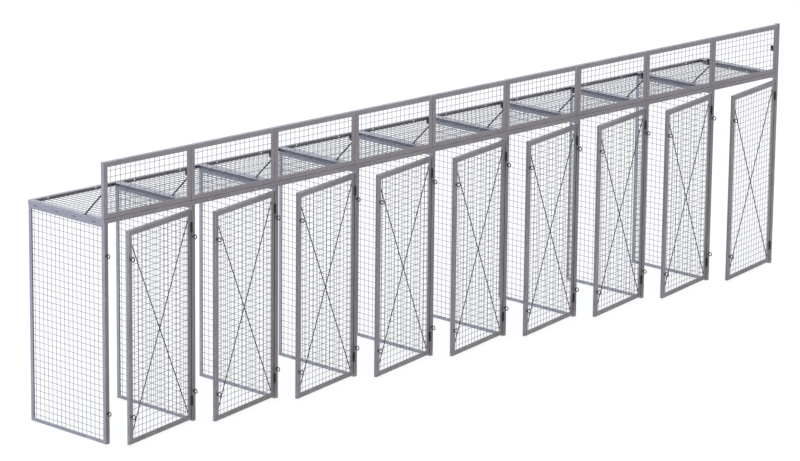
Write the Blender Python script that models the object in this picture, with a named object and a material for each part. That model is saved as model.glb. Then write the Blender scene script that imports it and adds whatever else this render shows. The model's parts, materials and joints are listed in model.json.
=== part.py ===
"""A bank of nine wire-mesh kennel cages, in metres, +Z up.

Welded panels of angle iron and wire mesh stand side by side. Each cage has a partition on its left, a
roof panel, an upright upper panel above the doorway and a door hung on the post to its right. A wall
post of tube ends the run. Back and right-hand side are open, because the bank is fixed against two
walls.

Inside the bank, x runs to the right along the front from the left end of the first cage, y runs from
the front faces to the rear and z runs up from the floor. The whole bank hangs on one empty, which
moves it so that the origin lies under the middle of its bounding box.
"""

import math

import bmesh
import bpy
from mathutils import Matrix, Vector

# The bank
CAGES = 9
PITCH = 0.914
DEPTH = 0.908
WALL_HEIGHT = 1.784
UPPER_HEIGHT = 0.452

# Gaps between pieces that touch on the real bank, and between pieces that move
TOUCH = 0.0003
RUNNING = 0.0005

# Every panel is angle iron. One leg lies in the panel's face, the other is a web at its outside.
ANGLE_THICK = 0.003

# Partitions, with their faces on the left, and the wall post, a tube
POST_INSET = 0.003
POST_WIDTH = 0.038
POST_DEPTH = 0.034
PARTITION_RAIL = 0.030
POST_RISE = 0.006

# Roof panels, with their faces on top and their webs drilled front and rear
ANGLE = 0.038
ROOF_MESH_HEIGHT = 0.003
BOLT_HOLE = 0.012
HOLE_FROM_SIDE = 0.206

# The angle iron that closes the last roof panel against the wall
WALL_LEG = 0.064
WALL_HOLES = (0.373, 0.582)
WALL_HOLE_RISE = 0.012

# Upper panels, with their faces in front
UPPER_FACE = 0.042
UPPER_DEPTH = 0.030
UPPER_MESH_SETBACK = 0.001

# Doors, with their faces in front
LATCH_GAP = 0.036
DOOR_BOTTOM = 0.017
DOOR_HEADROOM = 0.036
DOOR_FACE = 0.044
DOOR_DEPTH = 0.026
DOOR_GAP = 0.006
DOOR_REST_DEG = 12.4
BRACE_DIAMETER = 0.008
BRACE_SETBACK = 0.0065
BRACE_FROM_ENDS = 0.012

# A sheet of wire mesh, as a thin plate, and how far welded pieces run into each other
MESH_THICK = 0.003
WELD_BITE = 0.002

# Hinges
HINGE_HEIGHT = 0.076
HINGE_FROM_BOTTOM = 0.161
HINGE_FROM_TOP = 0.143
BARREL_RADIUS = 0.007
PIN_RADIUS = 0.004
PIN_RISE = 0.003
LEAF_THICK = 0.002
LEAF_DEPTH = 0.026

# Eyes for chains and padlocks, on every doorway post and every door's free stile
EYE_FROM_BOTTOM = 0.2245
EYE_FROM_TOP = 0.2305
EYE_DIAMETER = 0.040
EYE_WIRE = 0.007
EYE_STANDOFF = 0.004
POST_EYE_RISE = 0.010
BOSS_DIAMETER = 0.012
BOSS_GRIP = 0.0045

# Clamps and raking stays behind the upper panels
CLAMP_HEIGHT = 0.050
CLAMP_WIDTH = 0.022
CLAMP_DEPTH = 0.036
STAY_DIAMETER = 0.010
STAY_BELOW_MIDDLE = 0.010
STAY_END = 0.230
FOOT_SIZE = 0.020
FOOT_THICK = 0.004

# Facets round each kind of round piece
BARREL_SIDES = 8
ROD_SIDES = 6
HOLE_SIDES = 6
EYE_SIDES = 8
EYE_WIRE_SIDES = 4

ROOF_TOP = WALL_HEIGHT + ANGLE
DOOR_TOP = WALL_HEIGHT - DOOR_HEADROOM
DOOR_WIDTH = PITCH - POST_WIDTH - DOOR_GAP - LATCH_GAP
HINGE_CENTRES = (DOOR_BOTTOM + HINGE_FROM_BOTTOM, DOOR_TOP - HINGE_FROM_TOP)
EYE_HEIGHTS = (DOOR_BOTTOM + EYE_FROM_BOTTOM, DOOR_TOP - EYE_FROM_TOP)
BANK_LENGTH = CAGES * PITCH + POST_INSET + POST_WIDTH
BARREL_Y = -(BARREL_RADIUS + RUNNING)
GAP_MIDDLE = POST_INSET - DOOR_GAP / 2
EYE_CENTRE_Y = -(EYE_STANDOFF + EYE_DIAMETER / 2)

FRAME_STEEL = ("frame_steel", (0.50, 0.51, 0.56, 1.0), 0.45, 0.85)
DOOR_STEEL = ("door_steel", (0.47, 0.46, 0.48, 1.0), 0.45, 0.85)
BLACK_STEEL = ("black_steel", (0.05, 0.05, 0.055, 1.0), 0.5, 0.6)


def material(finish):
    """A Principled material of its own for one piece."""
    name, colour, roughness, metallic = finish
    made = bpy.data.materials.new(name)
    made.use_nodes = True
    shader = made.node_tree.nodes["Principled BSDF"]
    shader.inputs["Base Color"].default_value = colour
    shader.inputs["Roughness"].default_value = roughness
    shader.inputs["Metallic"].default_value = metallic
    return made


def scratch(fill):
    """A linked scratch object whose mesh the given function fills."""
    work = bmesh.new()
    fill(work)
    bmesh.ops.recalc_face_normals(work, faces=work.faces)
    mesh = bpy.data.meshes.new("scratch")
    work.to_mesh(mesh)
    work.free()
    made = bpy.data.objects.new("scratch", mesh)
    bpy.context.scene.collection.objects.link(made)
    return made


def block(low, high):
    """A box between two corners."""
    low, high = Vector(low), Vector(high)
    place = Matrix.Translation((low + high) / 2) @ Matrix.Diagonal((*(high - low), 1))
    return scratch(lambda work: bmesh.ops.create_cube(work, size=1, matrix=place))


def rod(start, end, radius, sides):
    """A round bar from one point to another, with a flat towards each axis."""
    start, end = Vector(start), Vector(end)
    turn = (end - start).to_track_quat("Z", "Y").to_matrix().to_4x4()
    place = Matrix.Translation((start + end) / 2) @ turn @ Matrix.Rotation(math.pi / sides, 4, "Z")

    def fill(work):
        bmesh.ops.create_cone(
            work,
            cap_ends=True,
            segments=sides,
            radius1=radius,
            radius2=radius,
            depth=(end - start).length,
            matrix=place,
        )

    return scratch(fill)


def eye_ring(centre):
    """A ring in the plane of y and z: a circle across its wire, spun about the x direction."""
    centre = Vector(centre)
    foremost = centre - Vector((0, (EYE_DIAMETER - EYE_WIRE) / 2, 0))

    def fill(work):
        bmesh.ops.create_circle(
            work,
            segments=EYE_WIRE_SIDES,
            radius=EYE_WIRE / 2,
            matrix=Matrix.Translation(foremost) @ Matrix.Rotation(math.pi / 2, 4, "Z"),
        )
        bmesh.ops.spin(
            work,
            geom=work.verts[:] + work.edges[:],
            cent=centre,
            axis=(1, 0, 0),
            angle=2 * math.pi,
            steps=EYE_SIDES,
            use_merge=True,
        )

    return scratch(fill)


def nested(rings, to_bank):
    """A closed body skinned through rectangles, each ((left, bottom, right, top), level), both ends shut.

    to_bank turns across, up and level into a point of the bank.
    """

    def corners(edges, level):
        left, bottom, right, top = edges
        square = ((left, bottom), (right, bottom), (right, top), (left, top))
        return [to_bank(across, up, level) for across, up in square]

    def fill(work):
        loops = [[work.verts.new(point) for point in corners(*ring)] for ring in rings]
        work.faces.new(loops[0])
        work.faces.new(loops[-1])
        for one, other in zip(loops, loops[1:]):
            for here in range(4):
                after = (here + 1) % 4
                work.faces.new((one[here], one[after], other[after], other[here]))

    return scratch(fill)


def angle_frame(outer, inner, face, web_end, sheet, to_bank):
    """A frame of angle iron with a thin sheet of wire mesh from web to web.

    outer and inner are the edges of the legs in the frame's face, which is at the level face. web_end
    is the level of the webs' free edges. sheet is (near, far) for the sheet, as seen from the face.
    """
    left, bottom, right, top = outer
    web = (left + ANGLE_THICK, bottom + ANGLE_THICK, right - ANGLE_THICK, top - ANGLE_THICK)
    behind_face = face + math.copysign(ANGLE_THICK, web_end - face)
    rings = (
        (web, sheet[0]),
        (web, behind_face),
        (inner, behind_face),
        (inner, face),
        (outer, face),
        (outer, web_end),
        (web, web_end),
        (web, sheet[1]),
    )
    return nested(rings, to_bank)


def angle_bar(corners, front, rear):
    """A bar of angle iron along y, from its outline in x and z."""

    def fill(work):
        end = work.faces.new([work.verts.new((x, front, z)) for x, z in corners])
        far = bmesh.ops.extrude_face_region(work, geom=[end])["geom"]
        moved = [item for item in far if isinstance(item, bmesh.types.BMVert)]
        bmesh.ops.translate(work, verts=moved, vec=(0, rear - front, 0))

    return scratch(fill)


def combined(base, tools, operation="UNION"):
    """The mesh of a scratch object with others joined to it or cut from it. The scratch objects go."""
    for tool in tools:
        step = base.modifiers.new("step", "BOOLEAN")
        step.operation = operation
        step.solver = "EXACT"
        step.object = tool
    graph = bpy.context.evaluated_depsgraph_get()
    graph.update()
    mesh = bpy.data.meshes.new_from_object(base.evaluated_get(graph))
    base.modifiers.clear()
    base.data = mesh
    for tool in tools:
        bpy.data.objects.remove(tool)
    return base


def finished(made):
    """A scratch object's mesh, rid of the object."""
    mesh = made.data
    bpy.data.objects.remove(made)
    return mesh


def eyes_on(x, heights):
    """The eyes of a post or stile whose front face is at y = 0, each a ring on a short boss."""
    pieces = []
    for height in heights:
        pieces.append(eye_ring((x, EYE_CENTRE_Y, height)))
        tip = (x, -(EYE_STANDOFF + BOSS_GRIP), height)
        pieces.append(rod((x, WELD_BITE, height), tip, BOSS_DIAMETER / 2, ROD_SIDES))
    return pieces


def partition_mesh():
    """The left-hand wall of a cage, from floor to roof, with the eyes on its front post."""
    middle = POST_INSET + POST_WIDTH / 2
    frame = angle_frame(
        outer=(0, 0, DEPTH, WALL_HEIGHT),
        inner=(POST_DEPTH, PARTITION_RAIL, DEPTH - POST_DEPTH, WALL_HEIGHT - PARTITION_RAIL),
        face=POST_INSET,
        web_end=POST_INSET + POST_WIDTH,
        sheet=(middle - MESH_THICK / 2, middle + MESH_THICK / 2),
        to_bank=lambda across, up, level: (level, across, up),
    )
    heights = [height + POST_EYE_RISE for height in EYE_HEIGHTS]
    return finished(combined(frame, eyes_on(middle, heights)))


def roof_mesh():
    """The roof panel of a cage, with its sheet of mesh low down between the webs."""
    low = WALL_HEIGHT + TOUCH
    sheet_low = low + ROOF_MESH_HEIGHT
    roof = angle_frame(
        outer=(TOUCH, 0, PITCH - TOUCH, DEPTH),
        inner=(TOUCH + ANGLE, ANGLE, PITCH - TOUCH - ANGLE, DEPTH - ANGLE),
        face=ROOF_TOP,
        web_end=low,
        sheet=(sheet_low + MESH_THICK, sheet_low),
        to_bank=lambda across, up, level: (across, up, level),
    )
    height = WALL_HEIGHT + ANGLE / 2
    drills = []
    for x in (HOLE_FROM_SIDE, PITCH - HOLE_FROM_SIDE):
        for y in (0, DEPTH - ANGLE_THICK):
            start = (x, y - RUNNING, height)
            end = (x, y + ANGLE_THICK + RUNNING, height)
            drills.append(rod(start, end, BOLT_HOLE / 2, HOLE_SIDES))
    return finished(combined(roof, drills, "DIFFERENCE"))


def wall_rail_mesh():
    """The angle iron between the last roof panel and the wall, drilled for its two wall bolts."""
    left = POST_INSET
    right = left + POST_WIDTH
    low = ROOF_TOP - WALL_LEG
    under_flange = ROOF_TOP - ANGLE_THICK
    outline = (
        (left, ROOF_TOP),
        (right, ROOF_TOP),
        (right, low),
        (right - ANGLE_THICK, low),
        (right - ANGLE_THICK, under_flange),
        (left, under_flange),
    )
    rail = angle_bar(outline, POST_DEPTH + TOUCH, DEPTH)
    drills = []
    for y in WALL_HOLES:
        start = (right - ANGLE_THICK - RUNNING, y, low + WALL_HOLE_RISE)
        end = (right + RUNNING, y, low + WALL_HOLE_RISE)
        drills.append(rod(start, end, BOLT_HOLE / 2, HOLE_SIDES))
    return finished(combined(rail, drills, "DIFFERENCE"))


def upper_mesh(clamped_on_left):
    """The upright panel above a doorway, with its clamp halves and, on its left, its raking stay."""
    low = ROOF_TOP + TOUCH
    high = ROOF_TOP + UPPER_HEIGHT
    sheet_near = ANGLE_THICK + UPPER_MESH_SETBACK
    frame = angle_frame(
        outer=(TOUCH, low, PITCH - TOUCH, high),
        inner=(UPPER_FACE, low + UPPER_FACE, PITCH - UPPER_FACE, high - UPPER_FACE),
        face=0,
        web_end=UPPER_DEPTH,
        sheet=(sheet_near, sheet_near + MESH_THICK),
        to_bank=lambda across, up, level: (across, level, up),
    )
    centre = ROOF_TOP + UPPER_HEIGHT / 2
    near = UPPER_DEPTH - WELD_BITE
    far = UPPER_DEPTH + CLAMP_DEPTH
    extras = []
    clamp_inset = TOUCH + RUNNING
    clamp_lefts = [PITCH - clamp_inset - CLAMP_WIDTH]
    if clamped_on_left:
        clamp_lefts.append(clamp_inset)
    for left in clamp_lefts:
        extras.append(
            block(
                (left, near, centre - CLAMP_HEIGHT / 2),
                (left + CLAMP_WIDTH, far, centre + CLAMP_HEIGHT / 2),
            )
        )
    stay_x = clamp_inset + CLAMP_WIDTH / 2
    foot = Vector((stay_x, STAY_END, ROOF_TOP + TOUCH))
    top = Vector((stay_x, sheet_near + MESH_THICK / 2, centre - STAY_BELOW_MIDDLE))
    foot_low = foot - Vector((FOOT_SIZE / 2, FOOT_SIZE / 2, 0))
    foot_high = foot + Vector((FOOT_SIZE / 2, FOOT_SIZE / 2, FOOT_THICK))
    extras.append(block(foot_low, foot_high))
    in_foot = foot + Vector((0, 0, FOOT_THICK))
    extras.append(rod(top, in_foot, STAY_DIAMETER / 2, ROD_SIDES))
    return finished(combined(frame, extras))


def door_mesh():
    """A closed door, as seen from its hinge axis, with its braces, eyes and halves of the hinges."""
    right = GAP_MIDDLE - DOOR_GAP / 2
    left = right - DOOR_WIDTH
    middle = DOOR_DEPTH / 2 + BRACE_DIAMETER / 2
    door = angle_frame(
        outer=(left, DOOR_BOTTOM, right, DOOR_TOP),
        inner=(left + DOOR_FACE, DOOR_BOTTOM + DOOR_FACE, right - DOOR_FACE, DOOR_TOP - DOOR_FACE),
        face=0,
        web_end=DOOR_DEPTH,
        sheet=(middle - MESH_THICK / 2, middle + MESH_THICK / 2),
        to_bank=lambda across, up, level: (across, level, up),
    )
    extras = eyes_on(left + DOOR_FACE / 2, EYE_HEIGHTS)
    low = DOOR_BOTTOM + BRACE_FROM_ENDS
    high = DOOR_TOP - BRACE_FROM_ENDS
    web_bite = ANGLE_THICK - WELD_BITE
    rear_brace = BRACE_SETBACK + BRACE_DIAMETER - RUNNING
    for start, end, y in ((low, high, BRACE_SETBACK), (high, low, rear_brace)):
        in_left_web = (left + web_bite, y, start)
        in_right_web = (right - web_bite, y, end)
        extras.append(rod(in_left_web, in_right_web, BRACE_DIAMETER / 2, ROD_SIDES))
    third = HINGE_HEIGHT / 3
    leaf_right = right + LEAF_THICK
    knuckle = third / 2 - RUNNING
    tab = knuckle - RUNNING
    for centre in HINGE_CENTRES:
        extras.append(
            block(
                (right - WELD_BITE, RUNNING, centre - HINGE_HEIGHT / 2),
                (leaf_right, LEAF_DEPTH - TOUCH, centre + HINGE_HEIGHT / 2),
            )
        )
        extras.append(
            block(
                (right + RUNNING, BARREL_Y + PIN_RADIUS + RUNNING * 2, centre - tab),
                (leaf_right - TOUCH, WELD_BITE, centre + tab),
            )
        )
        extras.append(
            rod(
                (GAP_MIDDLE, BARREL_Y, centre - knuckle),
                (GAP_MIDDLE, BARREL_Y, centre + knuckle),
                BARREL_RADIUS,
                BARREL_SIDES,
            )
        )
    door = combined(door, extras)
    bores = [
        rod(
            (GAP_MIDDLE, BARREL_Y, centre - third / 2),
            (GAP_MIDDLE, BARREL_Y, centre + third / 2),
            PIN_RADIUS + RUNNING,
            BARREL_SIDES,
        )
        for centre in HINGE_CENTRES
    ]
    door = combined(door, bores, "DIFFERENCE")
    door.data.transform(Matrix.Translation((-GAP_MIDDLE, -BARREL_Y, 0)))
    return finished(door)


def hinge_mesh():
    """The post's half of a hinge, about its own centre on the pin's axis: leaf, two knuckles, pin."""
    third = HINGE_HEIGHT / 3
    half = HINGE_HEIGHT / 2
    leaf_right = POST_INSET - TOUCH - GAP_MIDDLE
    leaf_left = leaf_right - LEAF_THICK
    face = -BARREL_Y
    leaf = block((leaf_left, face, -half), (leaf_right, face + LEAF_DEPTH, half))
    extras = [rod((0, 0, -half - PIN_RISE), (0, 0, half + PIN_RISE), PIN_RADIUS, BARREL_SIDES)]
    for low, high in ((-half, -third / 2), (third / 2, half)):
        extras.append(rod((0, 0, low), (0, 0, high), BARREL_RADIUS, BARREL_SIDES))
        extras.append(
            block(
                (leaf_left + TOUCH, 0, low + RUNNING),
                (leaf_right - TOUCH, face + WELD_BITE, high - RUNNING),
            )
        )
    return finished(combined(leaf, extras))


def door_reach():
    """How far a door's eyes stand in front of the bank with the doors at rest."""
    angle = math.radians(DOOR_REST_DEG)
    eye_x = GAP_MIDDLE - DOOR_GAP / 2 - DOOR_WIDTH + DOOR_FACE / 2
    along = GAP_MIDDLE - eye_x
    ahead = -(EYE_CENTRE_Y - EYE_DIAMETER / 2) + BARREL_Y
    return along * math.sin(angle) + ahead * math.cos(angle) - BARREL_Y


def place(name, mesh, finish, parent, location):
    """A named object that shows a mesh with a material of its own."""
    made = bpy.data.objects.new(name, mesh.copy())
    made.data.materials.clear()
    made.data.materials.append(material(finish))
    made.location = location
    made.parent = parent
    bpy.context.scene.collection.objects.link(made)
    return made


def main():
    for old in list(bpy.data.objects):
        bpy.data.objects.remove(old)
    bank = bpy.data.objects.new("bank", None)
    bank.location = (-(TOUCH + BANK_LENGTH) / 2, (door_reach() - DEPTH) / 2, 0)
    bpy.context.scene.collection.objects.link(bank)

    partition = partition_mesh()
    roof = roof_mesh()
    end_upper = upper_mesh(clamped_on_left=False)
    upper = upper_mesh(clamped_on_left=True)
    door = door_mesh()
    hinge = hinge_mesh()

    for cage in range(CAGES):
        left = cage * PITCH
        number = cage + 1
        place(f"partition_{number}", partition, FRAME_STEEL, bank, (left, 0, 0))
        place(f"roof_panel_{number}", roof, FRAME_STEEL, bank, (left, 0, 0))
        place(f"upper_panel_{number}", upper if cage else end_upper, FRAME_STEEL, bank, (left, 0, 0))
        axis = Vector((left + PITCH + GAP_MIDDLE, BARREL_Y, 0))
        leaf = place(f"door_{number}", door, DOOR_STEEL, bank, axis)
        leaf.rotation_euler.z = math.radians(DOOR_REST_DEG)
        for level, centre in zip(("lower", "upper"), HINGE_CENTRES):
            place(f"hinge_{number}_{level}", hinge, BLACK_STEEL, bank, axis + Vector((0, 0, centre)))

    end = (CAGES * PITCH, 0, 0)
    post_top = ROOF_TOP + UPPER_HEIGHT + POST_RISE
    post = block((POST_INSET, 0, 0), (POST_INSET + POST_WIDTH, POST_DEPTH, post_top))
    place("wall_post", finished(post), FRAME_STEEL, bank, end)
    place("wall_rail", wall_rail_mesh(), FRAME_STEEL, bank, end)


main()
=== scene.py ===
"""The looks of a bank of nine wire-mesh kennel cages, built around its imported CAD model.

Each kind of piece is modelled once, in the coordinates of one cage, and placed in every cage: x runs to
the right from the boundary on the cage's left, y runs from the front faces to the rear and z runs up from
the floor. A door and its hinges are modelled about the hinges' axis, with the door closed.
"""

import json
import math
import random

import bmesh
import bpy
from mathutils import Matrix, Vector


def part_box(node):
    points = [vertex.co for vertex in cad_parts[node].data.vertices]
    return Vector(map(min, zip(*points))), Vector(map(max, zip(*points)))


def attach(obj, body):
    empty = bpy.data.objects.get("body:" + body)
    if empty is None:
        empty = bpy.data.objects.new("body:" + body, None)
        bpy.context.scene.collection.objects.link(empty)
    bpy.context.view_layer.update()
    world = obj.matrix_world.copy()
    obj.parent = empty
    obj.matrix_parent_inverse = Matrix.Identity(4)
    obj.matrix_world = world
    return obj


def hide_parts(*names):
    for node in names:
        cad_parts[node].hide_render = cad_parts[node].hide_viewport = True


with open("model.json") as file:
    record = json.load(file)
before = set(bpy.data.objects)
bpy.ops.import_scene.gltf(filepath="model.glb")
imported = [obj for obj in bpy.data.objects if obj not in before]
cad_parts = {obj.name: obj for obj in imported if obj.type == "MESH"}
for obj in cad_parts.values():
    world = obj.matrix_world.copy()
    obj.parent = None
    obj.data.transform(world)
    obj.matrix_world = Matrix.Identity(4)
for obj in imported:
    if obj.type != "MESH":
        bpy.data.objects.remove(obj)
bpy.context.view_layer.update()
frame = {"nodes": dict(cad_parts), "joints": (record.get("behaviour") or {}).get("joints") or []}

random.seed(9)

# Neighbouring panels stand twice this far apart
TOUCH = 0.0003

# Places and sizes that the frame gives
FIRST_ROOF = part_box("roof_panel_1")
FIRST_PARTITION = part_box("partition_1")
WALL_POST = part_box("wall_post")
WALL_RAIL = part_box("wall_rail")
CAGES = sum(name.startswith("roof_panel_") for name in frame["nodes"])
LEFT_END = FIRST_ROOF[0].x - TOUCH
FRONT = FIRST_ROOF[0].y
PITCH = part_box("roof_panel_2")[0].x - FIRST_ROOF[0].x
DEPTH = FIRST_ROOF[1].y - FIRST_ROOF[0].y
POST_INSET = FIRST_PARTITION[0].x - LEFT_END
POST_WIDTH = FIRST_PARTITION[1].x - FIRST_PARTITION[0].x
WALL_HEIGHT = FIRST_PARTITION[1].z
ROOF_TOP = FIRST_ROOF[1].z
UPPER_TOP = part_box("upper_panel_1")[1].z
DOOR_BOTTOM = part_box("door_1")[0].z
DOOR_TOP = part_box("door_1")[1].z

# Sections of angle iron and tube, and the holes in them, as in the CAD model
ANGLE_THICK = 0.003
POST_DEPTH = 0.034
PARTITION_RAIL = 0.030
UPPER_FACE = 0.042
UPPER_DEPTH = 0.030
UPPER_SHEET = 0.0055
DOOR_FACE = 0.044
DOOR_DEPTH = 0.026
DOOR_GAP = 0.006
LATCH_GAP = 0.036
DOOR_WIDTH = PITCH - POST_WIDTH - DOOR_GAP - LATCH_GAP
ANGLE = 0.038
ROOF_MESH_HEIGHT = 0.0045
BOLT_HOLE = 0.012
HOLE_FROM_SIDE = 0.206
WALL_HOLES = (0.373, 0.582)
WALL_HOLE_RISE = 0.012
TUBE_CORNER = 0.0032

# Wire mesh: how many wires run each way, and half the size of the weld where two of them meet
WIRE_SPACING = 0.0508
WIRE_RADIUS = 0.0018
PARTITION_WIRES = (17, 34)
ROOF_WIRES = (17, 17)
UPPER_WIRES = (18, 9)
DOOR_WIRES = (16, 34)
WIRE_WELD_HALF = 0.0024
WIRE_WELD_HALF_DEPTH = 0.0021
DOOR_MESH_LIFT = -0.008

# Braces on the doors
BRACE_RADIUS = 0.004
BRACE_SETBACK = 0.0065
BRACE_FROM_ENDS = 0.012

# Hinges
HINGE_HEIGHT = 0.076
HINGE_CENTRES = (DOOR_BOTTOM + 0.161, DOOR_TOP - 0.143)
BARREL_RADIUS = 0.007
BARREL_SETBACK = 0.0075
PIN_RADIUS = 0.004
LEAF_THICK = 0.002
LEAF_DEPTH = 0.026

# Eyes on the posts and on the doors' free stiles
EYE_HEIGHTS = (DOOR_BOTTOM + 0.2245, DOOR_TOP - 0.2305)
POST_EYE_RISE = 0.010
EYE_RADIUS = 0.0160
EYE_WIRE_RADIUS = 0.0042
EYE_AHEAD = 0.024

# Brackets and stays behind the upper panels
BRACKET_MIDDLE = (ROOF_TOP + UPPER_TOP) / 2
BRACKET_HEIGHT = 0.050
BRACKET_WIDTH = 0.022
BRACKET_REACH = 0.036
BRACKET_THICK = 0.004
BRACKET_GAP = 0.0008
STAY_RADIUS = 0.0058
STAY_END_Y = 0.230
BRACKET_WEAR = 0.7
STAY_PAD_HALF = 0.010

# Welds: how far a bar bites into what it is welded to, and the stitches on the free end's top seam
BITE = 0.002
SEAM_WELDS = (0.119, 0.354, 0.564, 0.817)
SEAM_WELD_HALF = 0.025

SMOOTH_DEG = 40


# Building meshes

def skin(work, loops, cyclic=False, wear_and_shade=None):
    """Quads between loops of equal length. Open ends are shut. The wear-and-shade list gives one number for
    each loop point: above zero for wear, below zero for painted shade.
    """
    layer = work.verts.layers.float.get("wear_and_shade") or work.verts.layers.float.new("wear_and_shade")
    rings = []
    for loop in loops:
        ring = [work.verts.new(point) for point in loop]
        for number, vert in enumerate(ring):
            vert[layer] = wear_and_shade[number] if wear_and_shade else 0.0
        rings.append(ring)
    pairs = list(zip(rings, rings[1:]))
    if cyclic:
        pairs.append((rings[-1], rings[0]))
    for one, other in pairs:
        for here in range(len(one)):
            after = (here + 1) % len(one)
            work.faces.new((one[here], one[after], other[after], other[here]))
    if not cyclic:
        work.faces.new(rings[0])
        work.faces.new(rings[-1])


def tube_section(width, rear):
    """The outline of a tube: (share of its width from the outside, depth, wear-and-shade value), worn at its
    corners.
    """
    points = []
    radius, band, steps = TUBE_CORNER, 0.004, 3
    corners = (
        (radius, radius, math.pi),
        (width - radius, radius, 1.5 * math.pi),
        (width - radius, rear - radius, 0.0),
        (radius, rear - radius, 0.5 * math.pi),
    )
    for across, depth, start in corners:
        arc = []
        for step in range(steps + 1):
            angle = start + step / steps * math.pi / 2
            wear_and_shade_amount = 0.45 + 0.55 * math.sin(math.pi * step / steps)
            arc.append((across + radius * math.cos(angle), depth + radius * math.sin(angle), wear_and_shade_amount))
        before = Vector((-math.sin(start), math.cos(start))) * -band
        after = Vector((math.cos(start), math.sin(start))) * -band
        points.append((arc[0][0] + before.x, arc[0][1] + before.y, 0.0))
        points += arc
        points.append((arc[-1][0] + after.x, arc[-1][1] + after.y, 0.0))
    return [(across / width, depth, wear_and_shade_amount) for across, depth, wear_and_shade_amount in points]


def angle_section(wide, face, web_end):
    """The outline of angle iron with a leg in the face and a web at the outside, as tube_section gives it.

    Values below zero paint shade inside the angle, on the faces that lie in the flange's shadow.
    """
    heel, fillet, edge, band, rim = 0.0026, 0.0026, 0.0008, 0.004, 0.0045
    length = abs(web_end - face)
    quarter = [step / 3 * math.pi / 2 for step in range(4)]
    points = [(0.0, length, 0.6), (0.0, length - band, 0.0), (0.0, heel + band, 0.0)]
    for angle in quarter:
        points.append((heel - heel * math.cos(angle), heel - heel * math.sin(angle), 1.0))
    points.append((heel + band, 0.0, 0.0))
    points.append((wide - rim, 0.0, 0.0))
    points.append((wide - edge, 0.0, 0.6))
    points.append((wide, edge, 0.3))
    points.append((wide, ANGLE_THICK, -0.8))
    inside = ANGLE_THICK + fillet
    for angle in quarter:
        points.append((inside - fillet * math.sin(angle), inside - fillet * math.cos(angle), -1.0))
    points.append((ANGLE_THICK, length, -0.6))
    back = math.copysign(1, web_end - face)
    return [(across / wide, face + back * behind, wear_and_shade_amount) for across, behind, wear_and_shade_amount in points]


def mitred_frame(work, outer, widths, section, put):
    """A section swept round a rectangle, mitred at its corners. widths are (left, bottom, right, top)."""
    loops = []
    for x, in_x, y, in_y in frame_corners(outer, widths):
        loops.append([put(x + share * in_x, y + share * in_y, depth) for share, depth, wear_and_shade_amount in section])
    skin(work, loops, cyclic=True, wear_and_shade=[wear_and_shade_amount for share, depth, wear_and_shade_amount in section])


def ringed(work, stations, sides):
    """A round bar through stations (point, radius, direction), shut at both ends."""
    loops = []
    for point, radius, direction in stations:
        turn = Vector(direction).to_track_quat("Z", "Y").to_matrix()
        loop = []
        for side in range(sides):
            angle = 2 * math.pi * (side + 0.5) / sides
            flat = Vector((radius * math.cos(angle), radius * math.sin(angle), 0))
            loop.append(Vector(point) + turn @ flat)
        loops.append(loop)
    skin(work, loops)


def lathe(work, base, direction, profile, sides):
    """A turned piece from (radius, height along the direction) pairs, with its ends shut."""
    base, direction = Vector(base), Vector(direction).normalized()
    ringed(work, [(base + direction * height, radius, direction) for radius, height in profile], sides)


def welded_bar(work, start, end, radius, sides, flare=1.75, flare_length=0.0035):
    """A bar between two faces that it is welded to: it bites into both, with a fillet at each."""
    start, end = Vector(start), Vector(end)
    along = (end - start).normalized()
    stations = (
        (start - along * BITE, radius * flare, along),
        (start, radius * flare, along),
        (start + along * flare_length * 0.35, radius * (1 + (flare - 1) * 0.35), along),
        (start + along * flare_length, radius, along),
        (end - along * flare_length, radius, along),
        (end - along * flare_length * 0.35, radius * (1 + (flare - 1) * 0.35), along),
        (end, radius * flare, along),
        (end + along * BITE, radius * flare, along),
    )
    ringed(work, stations, sides)


def bead(work, start, end, face, radius):
    """A weld bead along a seam: a rippled half-round ridge that stands on the face."""
    start, end, face = Vector(start), Vector(end), Vector(face).normalized()
    along = (end - start).normalized()
    aside = along.cross(face)
    ripple = 0.0026
    count = max(6, int((end - start).length / ripple))
    loops = []
    for step in range(count + 1):
        middle = start.lerp(end, step / count)
        end_taper = min(1.0, 0.35 + 0.65 * min(step, count - step) / 2)
        swell = radius * end_taper * (1 + 0.14 * (-1) ** step + random.uniform(-0.08, 0.08))
        wander = aside * random.uniform(-0.0003, 0.0003)
        loop = []
        for side in range(6):
            angle = math.pi * side / 5
            rise = face * (0.55 * swell * math.sin(angle) - 0.0004)
            loop.append(middle + wander + aside * swell * math.cos(angle) + rise)
        loops.append(loop)
    skin(work, loops)


def blob(work, centre, axes):
    """A small rounded lump with the given half axes."""
    centre = Vector(centre)
    ends = [work.verts.new(centre + sign * axis) for axis in axes for sign in (1, -1)]
    for one in ends[0:2]:
        for two in ends[2:4]:
            for three in ends[4:6]:
                work.faces.new((one, two, three))


def plate(work, outline, near, far, put, wear_and_shade=0.5):
    """An outline extruded from one depth to another, its edges a little broken."""
    ease = 0.0004
    middle = sum((Vector(point) for point in outline), Vector((0, 0))) / len(outline)
    spokes = [Vector(point) - middle for point in outline]
    small = [middle + spoke * (1 - ease / spoke.length) for spoke in spokes]
    loops = [
        [put(x, y, near) for x, y in small],
        [put(x, y, near + ease) for x, y in outline],
        [put(x, y, far - ease) for x, y in outline],
        [put(x, y, far) for x, y in small],
    ]
    skin(work, loops, wear_and_shade=[wear_and_shade] * len(outline))


def rounded_outline(left, bottom, right, top, radius):
    """A rectangle's outline with rounded corners."""
    points = []
    steps = 4
    corners = (
        (right - radius, top - radius, 0),
        (left + radius, top - radius, 1),
        (left + radius, bottom + radius, 2),
        (right - radius, bottom + radius, 3),
    )
    for x, y, quarter in corners:
        for step in range(steps + 1):
            angle = (quarter + step / steps) * math.pi / 2
            points.append((x + radius * math.cos(angle), y + radius * math.sin(angle)))
    return points


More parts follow.
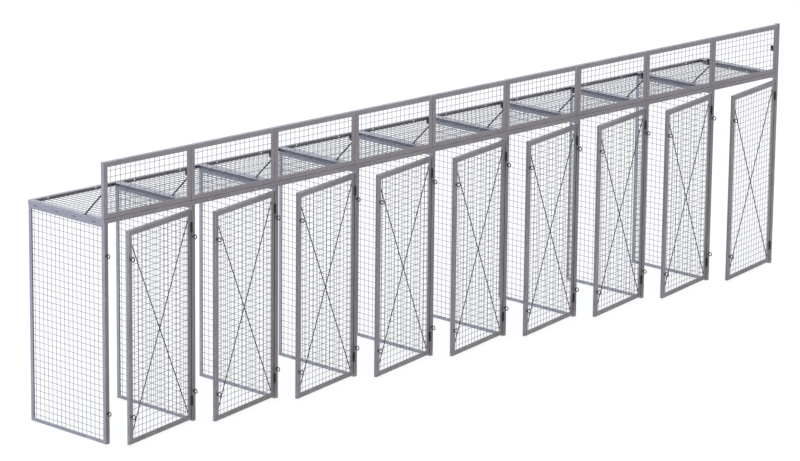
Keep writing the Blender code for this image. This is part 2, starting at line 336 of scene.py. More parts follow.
def hexagon(work, base, direction, across_flats, height):
    """A bolt head or nut: a hexagonal prism with a chamfered outer end, standing on a washer."""
    washer, ease = 0.0016, 0.0004
    face, rim = across_flats * 0.72, across_flats * 0.76
    lathe(work, base, direction, ((face, 0), (rim, ease), (rim, washer - ease), (face, washer)), 20)
    corner = across_flats / math.sqrt(3)
    start = Vector(base) + Vector(direction).normalized() * washer
    lathe(work, start, direction, ((corner, 0), (corner, height - 0.001), (corner * 0.86, height)), 6)


# Materials

def node_maker(owner):
    """Helpers that add nodes to a material or a world and link them."""
    tree = owner.node_tree

    def add(kind, **settings):
        node = tree.nodes.new(kind)
        for name, value in settings.items():
            setattr(node, name, value)
        return node

    def link(source, target):
        tree.links.new(source, target)

    return add, link


def own_coordinates(add, link):
    """Object coordinates, moved by the object's random number so that no two pieces look alike."""
    info = add("ShaderNodeObjectInfo")
    shift = add("ShaderNodeMath", operation="MULTIPLY")
    shift.inputs[1].default_value = 37.0
    link(info.outputs["Random"], shift.inputs[0])
    moved = add("ShaderNodeVectorMath", operation="ADD")
    link(add("ShaderNodeTexCoord").outputs["Object"], moved.inputs[0])
    link(shift.outputs[0], moved.inputs[1])
    return moved.outputs[0]


def noise(add, link, vector, scale, detail):
    """Smooth random values about 0.5."""
    node = add("ShaderNodeTexNoise")
    node.inputs["Scale"].default_value = scale
    node.inputs["Detail"].default_value = detail
    node.inputs["Roughness"].default_value = 0.55
    link(vector, node.inputs["Vector"])
    return node.outputs["Fac"]


def spread(add, link, value, low, high, to_low=0.0, to_high=1.0):
    """A value mapped from one range to another, and held to it."""
    node = add("ShaderNodeMapRange")
    for name, number in (("From Min", low), ("From Max", high), ("To Min", to_low), ("To Max", to_high)):
        node.inputs[name].default_value = number
    link(value, node.inputs["Value"])
    return node.outputs["Result"]


def combine(add, link, operation, one, other):
    """Two values put together, each a number or another node's output."""
    node = add("ShaderNodeMath", operation=operation)
    for value, socket in ((one, node.inputs[0]), (other, node.inputs[1])):
        if isinstance(value, (int, float)):
            socket.default_value = value
        else:
            link(value, socket)
    return node.outputs[0]


def tint(add, link, share, one, other):
    """A mix of two colours, each a tuple or another node's output."""
    node = add("ShaderNodeMix", data_type="RGBA")
    link(share, node.inputs["Factor"])
    for value, socket in ((one, node.inputs["A"]), (other, node.inputs["B"])):
        if isinstance(value, tuple):
            socket.default_value = (*value, 1.0)
        else:
            link(value, socket)
    return node.outputs["Result"]


def metal(name, metallic):
    """A new material with its shader, its helpers and its coordinates."""
    material = bpy.data.materials.new(name)
    material.use_nodes = True
    shader = material.node_tree.nodes["Principled BSDF"]
    shader.inputs["Metallic"].default_value = metallic
    add, link = node_maker(material)
    return material, shader, add, link, own_coordinates(add, link)


def relief(add, link, shader, height, strength, distance):
    """Fine bumps on a surface."""
    bump = add("ShaderNodeBump")
    bump.inputs["Strength"].default_value = strength
    bump.inputs["Distance"].default_value = distance
    link(height, bump.inputs["Height"])
    link(bump.outputs[0], shader.inputs["Normal"])


def wear_and_shade_layer(add):
    """What skin gave each point: above zero where it is rubbed, below zero where shade is painted inside an
    angle.
    """
    return add("ShaderNodeAttribute", attribute_name="wear_and_shade").outputs["Fac"]


def rubbed_patches(add, link, moved, scale, low, high):
    """How rubbed each place is: the mesh's wear, in patches."""
    patches = spread(add, link, noise(add, link, moved, scale, 4.0), low, high)
    return combine(add, link, "MULTIPLY", wear_and_shade_layer(add), patches)


def zinc_crystals(add, link, moved, spangle):
    """Cells with slightly bent edges, like zinc's crystals. spangle is how many there are to a metre."""
    bend = add("ShaderNodeTexNoise")
    bend.inputs["Scale"].default_value = 90.0
    link(moved, bend.inputs["Vector"])
    bent = add("ShaderNodeVectorMath", operation="MULTIPLY_ADD")
    link(bend.outputs["Color"], bent.inputs[0])
    bent.inputs[1].default_value = (0.012, 0.012, 0.012)
    link(moved, bent.inputs[2])
    crystals = add("ShaderNodeTexVoronoi", feature="F1")
    crystals.inputs["Scale"].default_value = spangle
    link(bent.outputs[0], crystals.inputs["Vector"])
    grain = add("ShaderNodeSeparateColor")
    link(crystals.outputs["Color"], grain.inputs[0])
    return grain.outputs["Red"], grain.outputs["Green"], crystals.outputs["Distance"]


def zinc_share(add, link, moved, facets, fine):
    """How bright the zinc is at each place, from its clouds, its crystals' facets and its fine grain."""
    clouds = spread(add, link, noise(add, link, moved, 3.5, 4.0), 0.35, 0.65)
    share = combine(add, link, "MULTIPLY", clouds, 0.35)
    share = combine(add, link, "ADD", share, combine(add, link, "MULTIPLY", facets, 0.34))
    return combine(add, link, "ADD", share, spread(add, link, fine, 0.3, 0.7, 0.0, 0.25))


def dust(add, link, moved):
    """How dusty each place is: in patches, low down on each piece."""
    height = add("ShaderNodeSeparateXYZ")
    link(add("ShaderNodeTexCoord").outputs["Object"], height.inputs[0])
    low_down = spread(add, link, height.outputs["Z"], 0.0, 0.22, 1.0, 0.0)
    patches = spread(add, link, noise(add, link, moved, 16.0, 5.0), 0.4, 0.7)
    return combine(add, link, "MULTIPLY", combine(add, link, "MULTIPLY", low_down, patches), 0.5)


def galvanised(name, dull, bright, spangle=95.0):
    """Hot-dip galvanised steel, with rubbed edges, painted shade inside its angles and dust low down."""
    material, shader, add, link, moved = metal(name, 0.72)
    facets, gloss, domes = zinc_crystals(add, link, moved, spangle)
    fine = noise(add, link, moved, 420.0, 2.0)
    colour = tint(add, link, zinc_share(add, link, moved, facets, fine), dull, bright)

    rubbed = combine(add, link, "MULTIPLY", rubbed_patches(add, link, moved, 24.0, 0.42, 0.62), 0.55)
    colour = tint(add, link, rubbed, colour, tuple(min(1.0, value * 1.35) for value in bright))
    # Painted shade: the insides of angles, which lie in the flange's shadow, are darkened towards near
    # black.
    painted_shade = spread(add, link, wear_and_shade_layer(add), 0.0, -1.0, 0.0, 0.62)
    colour = tint(add, link, painted_shade, colour, (0.055, 0.055, 0.06))
    dusty = dust(add, link, moved)
    colour = tint(add, link, dusty, colour, (0.20, 0.18, 0.155))
    link(colour, shader.inputs["Base Color"])

    rough = spread(add, link, gloss, 0.0, 1.0, 0.36, 0.52)
    rough = combine(add, link, "ADD", rough, combine(add, link, "MULTIPLY", dusty, 0.25))
    rough = combine(add, link, "SUBTRACT", rough, combine(add, link, "MULTIPLY", rubbed, 0.12))
    link(rough, shader.inputs["Roughness"])

    height = combine(add, link, "ADD", combine(add, link, "MULTIPLY", domes, 0.35), fine)
    relief(add, link, shader, height, 0.16, 0.0004)
    return material


def blackened(name, deep, pale, metallic=0.5):
    """A dark, mottled finish, rubbed pale along its edges: black steel, weld, and the near-black strips of
    painted shade in joints and gaps.
    """
    material, shader, add, link, moved = metal(name, metallic)
    mottle = spread(add, link, noise(add, link, moved, 120.0, 5.0), 0.35, 0.68)
    colour = tint(add, link, mottle, deep, pale)
    rubbed = rubbed_patches(add, link, moved, 260.0, 0.48, 0.6)
    colour = tint(add, link, rubbed, colour, (0.17, 0.165, 0.16))
    link(colour, shader.inputs["Base Color"])
    link(spread(add, link, mottle, 0.0, 1.0, 0.38, 0.6), shader.inputs["Roughness"])
    relief(add, link, shader, noise(add, link, moved, 900.0, 3.0), 0.3, 0.0003)
    return material


FRAME_ZINC = galvanised("frame_zinc", (0.320, 0.301, 0.308), (0.460, 0.435, 0.446))
DOOR_ZINC = galvanised("door_zinc", (0.305, 0.290, 0.292), (0.460, 0.440, 0.442))
WIRE_ZINC = galvanised("wire_zinc", (0.20, 0.203, 0.215), (0.31, 0.315, 0.335), spangle=190.0)
# Painted shade: near-black strips laid in joints and gaps where shadow falls.
PAINTED_JOINT_SHADE = blackened("painted_joint_shade", (0.030, 0.029, 0.029), (0.060, 0.058, 0.058), 0.0)
BRACE_STEEL = blackened("brace_steel", (0.060, 0.060, 0.064), (0.105, 0.105, 0.11), 0.6)
EYE_STEEL = blackened("eye_steel", (0.020, 0.020, 0.019), (0.042, 0.042, 0.040), 0.3)
HINGE_STEEL = blackened("hinge_steel", (0.032, 0.026, 0.025), (0.062, 0.052, 0.050))
WELD_STEEL = blackened("weld_steel", (0.13, 0.135, 0.15), (0.22, 0.225, 0.245), 0.7)
BRACKET_STEEL = blackened("bracket_steel", (0.012, 0.012, 0.013), (0.030, 0.030, 0.032))


# Pieces

def smoothed(mesh):
    """The mesh, smooth but for its sharp edges."""
    mesh.shade_smooth()
    mesh.set_sharp_from_angle(angle=math.radians(SMOOTH_DEG))
    return mesh


def mesh_of(build):
    """A mesh that the given function fills."""
    work = bmesh.new()
    work.verts.layers.float.new("wear_and_shade")
    build(work)
    bmesh.ops.recalc_face_normals(work, faces=work.faces)
    mesh = bpy.data.meshes.new("piece")
    work.to_mesh(mesh)
    work.free()
    return smoothed(mesh)


def drilled(mesh, drills):
    """The mesh with round holes (start, end, radius) cut through it."""
    body = bpy.data.objects.new("body", mesh)
    bpy.context.scene.collection.objects.link(body)
    tools = []
    for start, end, radius in drills:
        along = Vector(end) - Vector(start)
        cutter = mesh_of(lambda work: ringed(work, [(start, radius, along), (end, radius, along)], 28))
        tool = bpy.data.objects.new("tool", cutter)
        bpy.context.scene.collection.objects.link(tool)
        tools.append(tool)
        step = body.modifiers.new("hole", "BOOLEAN")
        step.operation = "DIFFERENCE"
        step.object = tool
    graph = bpy.context.evaluated_depsgraph_get()
    cut = bpy.data.meshes.new_from_object(body.evaluated_get(graph))
    for made in (body, *tools):
        bpy.data.objects.remove(made)
    return smoothed(cut)


def piece(name, mesh, material, body, location, turn=0.0, stands_for=()):
    """A named object that shows its own copy of a mesh and rides on a body."""
    own = mesh.copy()
    own.name = name
    own.materials.clear()
    own.materials.append(material)
    made = bpy.data.objects.new(name, own)
    made.location = location
    made.rotation_euler.z = turn
    bpy.context.scene.collection.objects.link(made)
    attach(made, body)
    if stands_for:
        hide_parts(*stands_for)


def spaced(low, high, count):
    """Places at the mesh's spacing, centred between two edges."""
    start = (low + high - (count - 1) * WIRE_SPACING) / 2
    return [start + step * WIRE_SPACING for step in range(count)]


def wire_sheet(work, edges, counts, depth, put, lift=0.0):
    """Welded wire mesh: uprights, cross wires behind them and a lump of weld where they meet."""
    left, bottom, right, top = edges
    apart = WIRE_RADIUS * 0.9
    ups = spaced(left, right, counts[0])
    overs = [up + lift for up in spaced(bottom, top, counts[1])]
    for across in ups:
        welded_bar(work, put(across, bottom, depth - apart), put(across, top, depth - apart), WIRE_RADIUS, 8)
    for up in overs:
        welded_bar(work, put(left, up, depth + apart), put(right, up, depth + apart), WIRE_RADIUS, 8)
    origin = put(0, 0, 0)
    steps = ((WIRE_WELD_HALF, 0, 0), (0, WIRE_WELD_HALF, 0), (0, 0, WIRE_WELD_HALF_DEPTH))
    axes = [put(*step) - origin for step in steps]
    for across in ups:
        for up in overs:
            blob(work, put(across, up, depth), axes)


def frame_corners(outer, widths):
    """Each corner of a frame with the way in from it: (x, inward x, y, inward y)."""
    left, bottom, right, top = outer
    wide_left, wide_bottom, wide_right, wide_top = widths
    return (
        (left, wide_left, bottom, wide_bottom),
        (right, -wide_right, bottom, wide_bottom),
        (right, -wide_right, top, -wide_top),
        (left, wide_left, top, -wide_top),
    )


def corner_welds(work, outer, widths, face, web_end, put):
    """A bead along each mitre of a frame's face, and one inside each corner between its webs."""
    back = math.copysign(1, web_end - face)
    origin = put(0, 0, 0)
    out = put(0, 0, -back) - origin
    for x, in_x, y, in_y in frame_corners(outer, widths):
        start, end = (put(x + in_x * share, y + in_y * share, face) for share in (0.10, 0.94))
        bead(work, start, end, out, 0.002)
        inward = put(math.copysign(1, in_x), math.copysign(1, in_y), 0) - origin
        web_x, web_y = x + math.copysign(ANGLE_THICK, in_x), y + math.copysign(ANGLE_THICK, in_y)
        near, far = face + back * (ANGLE_THICK + 0.003), web_end - back * 0.001
        bead(work, put(web_x, web_y, near), put(web_x, web_y, far), inward, 0.0028)


def between_webs(outer):
    """The space inside a frame's webs: (left, bottom, right, top)."""
    return (outer[0] + ANGLE_THICK, outer[1] + ANGLE_THICK, outer[2] - ANGLE_THICK, outer[3] - ANGLE_THICK)


def upright_wall(across, up, depth):
    """Into a cage, for a partition: across is y, depth is x."""
    return Vector((depth, across, up))


def upright_front(across, up, depth):
    """Into a cage, for an upper panel or a door."""
    return Vector((across, depth, up))


def lying(across, up, depth):
    """Into a cage, for a roof panel."""
    return Vector((across, up, depth))


def panel_meshes(outer, widths, face, web_end, sheet, counts, put, lift=0.0):
    """A frame of angle iron with its welds, and its wire mesh."""

    def build_frame(work):
        mitred_frame(work, outer, widths, angle_section(widths[0], face, web_end), put)
        corner_welds(work, outer, widths, face, web_end, put)

    return mesh_of(build_frame), mesh_of(
        lambda work: wire_sheet(work, between_webs(outer), counts, sheet, put, lift))


def eye(work, x, face_y, z):
    """A ring that stands on a boss, square to the face, with its hole across the opening."""
    centre = Vector((x, face_y - EYE_AHEAD, z))
    sides, steps = 12, 32
    loops = []
    for step in range(steps):
        angle = 2 * math.pi * step / steps
        out = Vector((0, math.cos(angle), math.sin(angle)))
        loop = []
        for side in range(sides):
            around = 2 * math.pi * side / sides
            reach = EYE_RADIUS + EYE_WIRE_RADIUS * math.cos(around)
            loop.append(centre + out * reach + Vector((EYE_WIRE_RADIUS * math.sin(around), 0, 0)))
        loops.append(loop)
    wear_and_shade_amount = [0.35 + 0.45 * math.cos(2 * math.pi * side / sides) for side in range(sides)]
    skin(work, loops, cyclic=True, wear_and_shade=wear_and_shade_amount)
    boss = (
        (0.0086, 0),
        (0.0082, 0.0012),
        (0.0068, 0.0024),
        (0.0060, 0.0036),
        (0.0060, 0.0072),
        (0.0048, 0.0085),
    )
    lathe(work, (x, face_y + 0.0004, z), (0, -1, 0), boss, 24)


def eyes_mesh(x, face_y, rise=0.0):
    """The two eyes of a post or of a door's free stile."""

    def build(work):
        for height in EYE_HEIGHTS:
            eye(work, x, face_y, height + rise)

    return mesh_of(build)


def knuckle(work, low, high):
    """One rolled knuckle about the hinge's axis."""
    chamfer = 0.0007
    profile = (
        (PIN_RADIUS + 0.0006, 0),
        (BARREL_RADIUS - chamfer, 0),
        (BARREL_RADIUS, chamfer),
        (BARREL_RADIUS, high - low - chamfer),
        (BARREL_RADIUS - chamfer, high - low),
        (PIN_RADIUS + 0.0006, high - low),
    )
    lathe(work, (0, 0, low), (0, 0, 1), profile, 24)


def leaf(work, left, right, screw_side, centre, tabs):
    """A hinge leaf in the gap beside the barrel, its tabs out to the knuckles and its three screws."""
    near, far = BARREL_SETBACK + 0.0006, BARREL_SETBACK + LEAF_DEPTH - TOUCH
    half = HINGE_HEIGHT / 2
    put = upright_wall
    plate(work, rounded_outline(near, centre - half, far, centre + half, 0.002), left, right, put)
    for low, high in tabs:
        bottom, top = low + 0.0004, high - 0.0004
        tab = ((0.002, bottom), (near + 0.002, bottom), (near + 0.002, top), (0.002, top))
        plate(work, tab, left + 0.0002, right - 0.0002, put)
    face = right if screw_side > 0 else left
    screw_head = ((0.0042, 0), (0.0042, 0.0005), (0.0030, 0.0008), (0.0012, 0.0008), (0.0010, 0.0003))
    for up, back in ((-0.027, 0.009), (0.0, 0.018), (0.027, 0.009)):
        base = (face - screw_side * 0.0004, near + back, centre + up)
        lathe(work, base, (screw_side, 0, 0), screw_head, 18)


def post_hinge_mesh():
    """The post's half of a hinge, about the middle of its pin: leaf, two knuckles."""
    third = HINGE_HEIGHT / 3
    half = HINGE_HEIGHT / 2
    right = POST_INSET - TOUCH

    def build(work):
        spans = ((-half, -third / 2), (third / 2, half))
        leaf(work, right - LEAF_THICK, right, -1, 0.0, spans)
        for low, high in spans:
            knuckle(work, low, high)

    return mesh_of(build)


def pin_mesh():
    """The hinge's pin with a domed head and a riveted foot."""
    half = HINGE_HEIGHT / 2
    profile = (
        (0.0022, -half - 0.0034),
        (0.0042, -half - 0.0030),
        (0.0052, -half - 0.0016),
        (0.0052, -half - 0.0002),
        (PIN_RADIUS, -half - 0.0001),
        (PIN_RADIUS, half + 0.0001),
        (0.0056, half + 0.0002),
        (0.0056, half + 0.0016),
        (0.0048, half + 0.0030),
        (0.0026, half + 0.0038),
    )
    return mesh_of(lambda work: lathe(work, (0, 0, 0), (0, 0, 1), profile, 24))


def door_hinges_mesh():
    """The door's halves of both hinges: leaves and middle knuckles."""
    third = HINGE_HEIGHT / 3
    left = -DOOR_GAP / 2

    def build(work):
        for centre in HINGE_CENTRES:
            span = (centre - third / 2 + 0.0005, centre + third / 2 - 0.0005)
            leaf(work, left, left + LEAF_THICK, 1, centre, (span,))
            knuckle(work, *span)

    return mesh_of(build)


def door_meshes():
    """A closed door about its hinge axis: frame, wires, braces and eyes."""
    right = -DOOR_GAP / 2
    left = right - DOOR_WIDTH
    face = BARREL_SETBACK
    outer = (left, DOOR_BOTTOM, right, DOOR_TOP)
    widths = (DOOR_FACE,) * 4
    sheet = face + DOOR_DEPTH / 2 + BRACE_RADIUS
    door_frame, wires = panel_meshes(
        outer, widths, face, face + DOOR_DEPTH, sheet, DOOR_WIRES, upright_front, DOOR_MESH_LIFT)
    web_left, web_right = left + ANGLE_THICK, right - ANGLE_THICK
    low, high = DOOR_BOTTOM + BRACE_FROM_ENDS, DOOR_TOP - BRACE_FROM_ENDS

    def build_braces(work):
        rear = BRACE_SETBACK + 2 * BRACE_RADIUS - 0.0006
        for start, end, depth in ((low, high, BRACE_SETBACK), (high, low, rear)):
            y = face + depth
            welded_bar(work, (web_left, y, start), (web_right, y, end), BRACE_RADIUS, 16, 1.4, 0.007)
        crossing = ((web_left + web_right) / 2, face + (BRACE_SETBACK + rear) / 2, (low + high) / 2)
        blob(work, crossing, (Vector((0.0065, 0, 0)), Vector((0, 0.005, 0)), Vector((0, 0, 0.009))))

    return door_frame, wires, mesh_of(build_braces), eyes_mesh(left + DOOR_FACE / 2, face)


def roof_meshes():
    """A roof panel's frame, with holes through its front and rear webs, and its wire mesh."""
    outer = (TOUCH, 0, PITCH - TOUCH, DEPTH)
    low = WALL_HEIGHT + TOUCH
    roof_frame, wires = panel_meshes(
        outer, (ANGLE,) * 4, ROOF_TOP, low, low + ROOF_MESH_HEIGHT, ROOF_WIRES, lying)
    height = WALL_HEIGHT + ANGLE / 2
    drills = []
    for x in (HOLE_FROM_SIDE, PITCH - HOLE_FROM_SIDE):
        for y in (0, DEPTH - ANGLE_THICK):
            drills.append(((x, y - 0.002, height), (x, y + ANGLE_THICK + 0.002, height), BOLT_HOLE / 2))
    return drilled(roof_frame, drills), wires


def wall_rail_mesh():
    """Angle iron along the wall, its leg on the right and its flange at the top."""
    size = WALL_RAIL[1] - WALL_RAIL[0]
    section = angle_section(size.x, size.z, 0)
    loops = []
    for y in (0, size.y):
        loops.append([(size.x - share * size.x, y, depth) for share, depth, wear_and_shade_amount in section])
    rail = mesh_of(lambda work: skin(work, loops, wear_and_shade=[wear_and_shade_amount for share, depth, wear_and_shade_amount in section]))
    drills = []
    rail_front = WALL_RAIL[0].y - FRONT
    for y in WALL_HOLES:
        start = (size.x - ANGLE_THICK - 0.002, y - rail_front, WALL_HOLE_RISE)
        drills.append((start, (size.x + 0.002, y - rail_front, WALL_HOLE_RISE), BOLT_HOLE / 2))
    return drilled(rail, drills)


def wall_post_mesh():
    """A tube with a cap welded into its top."""
    size = WALL_POST[1] - WALL_POST[0]
    section = tube_section(size.x, size.y)

    def outline(height, inset):
        grow = Vector((1 - 2 * inset / size.x, 1 - 2 * inset / size.y))
        middle = Vector((size.x / 2, size.y / 2))
        loop = []
        for share, depth, wear_and_shade_amount in section:
            x = middle.x + (share * size.x - middle.x) * grow.x
            y = middle.y + (depth - middle.y) * grow.y
            loop.append((x, y, height))
        return loop

    loops = [
        outline(0, 0.0006),
        outline(0.0006, 0),
        outline(size.z - 0.0034, 0),
        outline(size.z - 0.0030, 0.0007),
        outline(size.z - 0.0026, 0.0007),
        outline(size.z - 0.0022, 0),
        outline(size.z - 0.0006, 0),
        outline(size.z, 0.0009),
    ]
    return mesh_of(lambda work: skin(work, loops, wear_and_shade=[wear_and_shade_amount for share, depth, wear_and_shade_amount in section]))


def bracket_mesh(side):
    """An angle bracket behind an upper panel's stile: side 1 at the cage's left end, -1 at its right."""
    low, high = BRACKET_MIDDLE - BRACKET_HEIGHT / 2, BRACKET_MIDDLE + BRACKET_HEIGHT / 2
    edge = BRACKET_GAP if side > 0 else PITCH - BRACKET_GAP
    rear = UPPER_DEPTH + BRACKET_REACH

    def across(x):
        return edge + side * x

    def build(work):
        left, right = sorted((across(0), across(BRACKET_WIDTH)))
        flange = rounded_outline(left, low, right, high, 0.002)
        plate(work, flange, UPPER_DEPTH, UPPER_DEPTH + BRACKET_THICK, upright_front, BRACKET_WEAR)
        web = rounded_outline(UPPER_DEPTH + 0.001, low, rear, high, 0.004)
        near, far = sorted((across(0), across(BRACKET_THICK)))
        plate(work, web, near, far, upright_wall, BRACKET_WEAR)
        cheek = rounded_outline(UPPER_SHEET + 0.006, low, UPPER_DEPTH + 0.002, high, 0.004)
        near, far = sorted((across(ANGLE_THICK - 0.0005), across(ANGLE_THICK + 0.0025)))
        plate(work, cheek, near, far, upright_wall, BRACKET_WEAR)
        for up in (-0.0125, 0.0125):
            base = (across(BRACKET_THICK), rear - 0.016, BRACKET_MIDDLE + up)
            hexagon(work, base, (side, 0, 0), 0.013, 0.0075)

    return mesh_of(build)


def stay_mesh():
    """A raking rod: a tab joins its top to the stile's web, and its foot is welded to a pad."""
    x = BRACKET_GAP + BRACKET_WIDTH / 2
    top = Vector((x, UPPER_SHEET + 0.004, BRACKET_MIDDLE - 0.010))
    foot = Vector((x, STAY_END_Y, ROOF_TOP + 0.0043))
    along = (foot - top).normalized()
    pad_top = ROOF_TOP + 0.0044

    def build(work):
        stations = (
            (top, STAY_RADIUS * 0.8, along),
            (top + along * 0.002, STAY_RADIUS, along),
            (foot - along * 0.012, STAY_RADIUS, along),
            (foot - along * 0.001, STAY_RADIUS * 0.9, along),
        )
        ringed(work, stations, 16)
        tab = rounded_outline(top.y - 0.001, top.z - 0.012, top.y + 0.018, top.z + 0.010, 0.004)
        plate(work, tab, TOUCH + ANGLE_THICK - 0.0004, x - 0.002, upright_wall, BRACKET_WEAR)
        pad_front, pad_rear = STAY_END_Y - STAY_PAD_HALF, STAY_END_Y + STAY_PAD_HALF
        pad = rounded_outline(x - STAY_PAD_HALF, pad_front, x + STAY_PAD_HALF, pad_rear, 0.004)
        plate(work, pad, ROOF_TOP + 0.0004, pad_top, lying, BRACKET_WEAR)
        weld_y = STAY_END_Y - 0.004
        bead(work, (x - 0.007, weld_y, pad_top), (x + 0.007, weld_y, pad_top), (0, 0, 1), 0.002)

    return mesh_of(build)


def seam_welds_mesh():
    """Short welds between the roof panel's edge and the top of the partition at the bank's free end."""
    height = WALL_HEIGHT + 0.0015

    def build(work):
        for y in SEAM_WELDS:
            start, end = (TOUCH, y - SEAM_WELD_HALF, height), (TOUCH, y + SEAM_WELD_HALF, height)
            bead(work, start, end, (-1, 0, 0), 0.0036)

    return mesh_of(build)


def box(work, low, high):
    """A plain box between two corners."""
    (left, front, bottom), (right, rear, top) = low, high
    loops = []
    for z in (bottom, top):
        loops.append([(left, front, z), (right, front, z), (right, rear, z), (left, rear, z)])
    skin(work, loops)


def painted_seam_shade_mesh(with_neighbour):
    """Dark strips of painted shade deep in the joints round a cage's upper panel, behind the rounded heels.
    """
    half, near, far = 0.0028, 0.0002, 0.0024

    def build(work):
        box(work, (TOUCH, near, ROOF_TOP - half), (PITCH - TOUCH, far, ROOF_TOP + half))
        if with_neighbour:
            box(work, (-half, near, WALL_HEIGHT + 0.002), (half, far, UPPER_TOP - 0.003))

    return mesh_of(build)


def painted_gap_shade_mesh():
    """A dark strip of painted shadow on the edge of a post, in the narrow gap beside a door's hinge stile.
    """
    low = (POST_INSET - 0.0002, 0.0008, DOOR_BOTTOM + 0.002)
    high = (POST_INSET + 0.001, 0.0085, DOOR_TOP - 0.002)
    return mesh_of(lambda work: box(work, low, high))


def door_pieces():
    """The pieces of every door: (name, mesh, material, slot)."""
    door_frame, wires, braces, eyes = door_meshes()
    return (
        ("frame", door_frame, DOOR_ZINC, "door_steel"),
        ("wires", wires, WIRE_ZINC, "door_steel"),
        ("braces", braces, BRACE_STEEL, "door_steel"),
        ("eyes", eyes, EYE_STEEL, "black_steel"),
        ("hinge_halves", door_hinges_mesh(), HINGE_STEEL, "black_steel"),
    )


def hang_door(number, door_parts, post_hinge, pin):
    """A door as far open as it stands at rest, and the fixed halves of its hinges."""
    joint = next(joint for joint in frame["joints"] if joint["name"] == f"door_{number}_swing")
    axis = Vector((joint["pos_m"][0], joint["pos_m"][1], 0))
    turn = -math.radians(joint["range_deg"][0])
    for part, mesh, material, slot in door_parts:
        stands_for = (f"door_{number}",) if part == "frame" else ()
        piece(f"door_{number}_{part}", mesh, material, f"door_leaf_{number}", axis, turn, stands_for)
    for level, centre in zip(("lower", "upper"), HINGE_CENTRES):
        at = axis + Vector((0, 0, centre))
        node = f"hinge_{number}_{level}"
        piece(f"{node}_leaf", post_hinge, HINGE_STEEL, "bank", at, 0.0, (node,))
        piece(f"{node}_pin", pin, HINGE_STEEL, "bank", at)


def build_bank():
    """Every piece of every cage, and the wall post and rail at the right-hand end."""
    post_middle = POST_INSET + POST_WIDTH / 2
    partition_outer = (0, 0, DEPTH, WALL_HEIGHT)
    partition_widths = (POST_DEPTH, PARTITION_RAIL, POST_DEPTH, PARTITION_RAIL)
    partition_frame, partition_wires = panel_meshes(
        partition_outer, partition_widths, POST_INSET, POST_INSET + POST_WIDTH, post_middle,
        PARTITION_WIRES, upright_wall)
    upper_outer = (TOUCH, ROOF_TOP + TOUCH, PITCH - TOUCH, UPPER_TOP)
    upper_frame, upper_wires = panel_meshes(
        upper_outer, (UPPER_FACE,) * 4, 0, UPPER_DEPTH, UPPER_SHEET, UPPER_WIRES, upright_front)
    post_eyes = eyes_mesh(post_middle, 0, POST_EYE_RISE)
    roof_frame, roof_wires = roof_meshes()
    door_parts = door_pieces()
    left_bracket, right_bracket, stay = bracket_mesh(1), bracket_mesh(-1), stay_mesh()
    # Dark strips of painted shade for the seams round the upper panels
    painted_end_seam_shade, painted_seam_shade = painted_seam_shade_mesh(False), painted_seam_shade_mesh(True)
    # A dark strip of painted shadow for the gap beside each door's hinge stile
    painted_gap_shade = painted_gap_shade_mesh()
    post_hinge, pin = post_hinge_mesh(), pin_mesh()

    for number in range(1, CAGES + 1):
        corner = Vector((LEFT_END + (number - 1) * PITCH, FRONT, 0))
        next_corner = corner + Vector((PITCH, 0, 0))

        def fixed(name, mesh, material, stands_for=(), at=corner):
            piece(name, mesh, material, "bank", at, 0.0, stands_for)

        wall, roof, upper = f"partition_{number}", f"roof_panel_{number}", f"upper_panel_{number}"
        fixed(f"{wall}_frame", partition_frame, FRAME_ZINC, (wall,))
        fixed(f"{wall}_wires", partition_wires, WIRE_ZINC)
        fixed(f"{wall}_eyes", post_eyes, EYE_STEEL)
        fixed(f"roof_{number}_frame", roof_frame, FRAME_ZINC, (roof,))
        fixed(f"roof_{number}_wires", roof_wires, WIRE_ZINC)
        fixed(f"upper_{number}_frame", upper_frame, FRAME_ZINC, (upper,))
        fixed(f"upper_{number}_wires", upper_wires, WIRE_ZINC)
        # Painted shade in the seams round the upper panel
        fixed(f"upper_{number}_seams", painted_seam_shade if number > 1 else painted_end_seam_shade, PAINTED_JOINT_SHADE)
        # Painted shadow in the gap beside the next door's hinge stile
        fixed(f"door_{number}_gap_grime", painted_gap_shade, PAINTED_JOINT_SHADE, (), next_corner)
        if number > 1:
            fixed(f"upper_{number}_left_bracket", left_bracket, BRACKET_STEEL)
        fixed(f"upper_{number}_right_bracket", right_bracket, BRACKET_STEEL)
        fixed(f"upper_{number}_stay", stay, BRACKET_STEEL)
        hang_door(number, door_parts, post_hinge, pin)

    end = Vector((LEFT_END, FRONT, 0))
    piece("seam_welds", seam_welds_mesh(), WELD_STEEL, "bank", end)
    for name, mesh, place, node in (
        ("wall_post_tube", wall_post_mesh(), WALL_POST[0], "wall_post"),
        ("wall_rail_angle", wall_rail_mesh(), WALL_RAIL[0], "wall_rail"),
    ):
        piece(name, mesh, FRAME_ZINC, "bank", place, 0.0, (node,))


# The studio

CAMERA_PLACE = Vector((-18.7277, -21.4943, 8.9276))
CAMERA_AZIMUTH_DEG = 45.677
CAMERA_ELEVATION_DEG = 14.153
CAMERA_ROLL_DEG = 0.632
LENS_MM = 170.34
FLOOR_GLOW = 0.86
SUN_STRENGTH = 0.9


def place_camera():
    """A long lens, looking down a little from the left of the front. Its place is from the left end."""
    azimuth = math.radians(CAMERA_AZIMUTH_DEG)
    elevation = math.radians(CAMERA_ELEVATION_DEG)
    roll = math.radians(CAMERA_ROLL_DEG)
    flat = math.cos(elevation)
    ahead = Vector((math.sin(azimuth) * flat, math.cos(azimuth) * flat, -math.sin(elevation)))
    level = Vector((math.cos(azimuth), -math.sin(azimuth), 0))
    over = level.cross(ahead)
    right = level * math.cos(roll) + over * math.sin(roll)
    up = over * math.cos(roll) - level * math.sin(roll)
    data = bpy.data.cameras.new("camera")
    data.lens = LENS_MM
    data.sensor_width = 36
    data.clip_end = 500
    camera = bpy.data.objects.new("camera", data)
    camera.matrix_world = Matrix.Translation(CAMERA_PLACE + Vector((LEFT_END, FRONT, 0))) @ Matrix(
        (right, up, -ahead)).transposed().to_4x4()
    bpy.context.scene.collection.objects.link(camera)
    bpy.context.scene.camera = camera


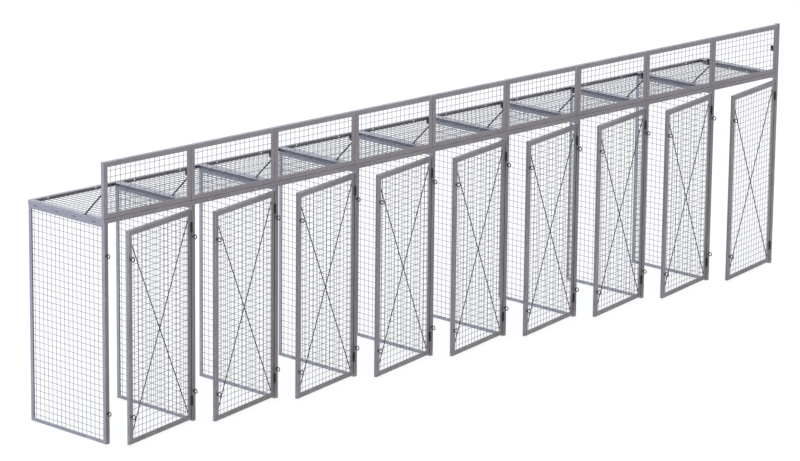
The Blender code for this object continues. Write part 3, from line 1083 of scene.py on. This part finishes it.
def make_floor():
    """A wide floor that glows almost white, so that shadows on it stay faint."""
    mesh = mesh_of(lambda work: bmesh.ops.create_grid(work, x_segments=8, y_segments=8, size=90))
    floor = bpy.data.objects.new("floor", mesh)
    floor.location.z = -0.001
    material = bpy.data.materials.new("floor")
    material.use_nodes = True
    shader = material.node_tree.nodes["Principled BSDF"]
    shader.inputs["Base Color"].default_value = (0.14, 0.14, 0.14, 1)
    shader.inputs["Roughness"].default_value = 0.9
    shader.inputs["Specular IOR Level"].default_value = 0.0
    shader.inputs["Emission Color"].default_value = (1, 1, 1, 1)
    shader.inputs["Emission Strength"].default_value = FLOOR_GLOW
    floor.data.materials.append(material)
    floor.visible_glossy = False
    floor.visible_diffuse = False
    bpy.context.scene.collection.objects.link(floor)


def make_light():
    """Soft light from all round, brightest from above and from the left rear, and a broad soft sun."""
    world = bpy.data.worlds.new("studio")
    world.use_nodes = True
    bpy.context.scene.world = world
    add, link = node_maker(world)
    background = world.node_tree.nodes["Background"]
    output = world.node_tree.nodes["World Output"]
    coordinates = add("ShaderNodeTexCoord")
    split = add("ShaderNodeSeparateXYZ")
    link(coordinates.outputs["Generated"], split.inputs[0])
    up = spread(add, link, split.outputs["Z"], -0.5, 0.9)
    leftward = combine(add, link, "MULTIPLY", split.outputs["X"], -0.35)
    rearward = combine(add, link, "MULTIPLY", split.outputs["Y"], 0.94)
    left_rear = spread(add, link, combine(add, link, "ADD", leftward, rearward), 0.35, 0.85)
    rear = spread(add, link, split.outputs["Y"], -0.4, 0.7)
    colour = tint(add, link, rear, (0.36, 0.305, 0.300), (0.50, 0.50, 0.53))
    colour = tint(add, link, left_rear, colour, (0.86, 1.00, 1.30))
    colour = tint(add, link, up, colour, (1.15, 1.26, 1.42))
    link(colour, background.inputs["Color"])
    seen = add("ShaderNodeBackground")
    seen.inputs["Color"].default_value = (1, 1, 1, 1)
    rays = add("ShaderNodeLightPath")
    either = add("ShaderNodeMixShader")
    link(rays.outputs["Is Camera Ray"], either.inputs[0])
    link(background.outputs[0], either.inputs[1])
    link(seen.outputs[0], either.inputs[2])
    link(either.outputs[0], output.inputs["Surface"])

    sun = bpy.data.lights.new("sun", "SUN")
    sun.energy = SUN_STRENGTH
    sun.angle = math.radians(35)
    lamp = bpy.data.objects.new("sun", sun)
    lamp.rotation_euler = (math.radians(28), math.radians(-30), 0)
    bpy.context.scene.collection.objects.link(lamp)
    bpy.context.scene.view_settings.view_transform = "Standard"


place_camera()
make_floor()
make_light()
build_bank()
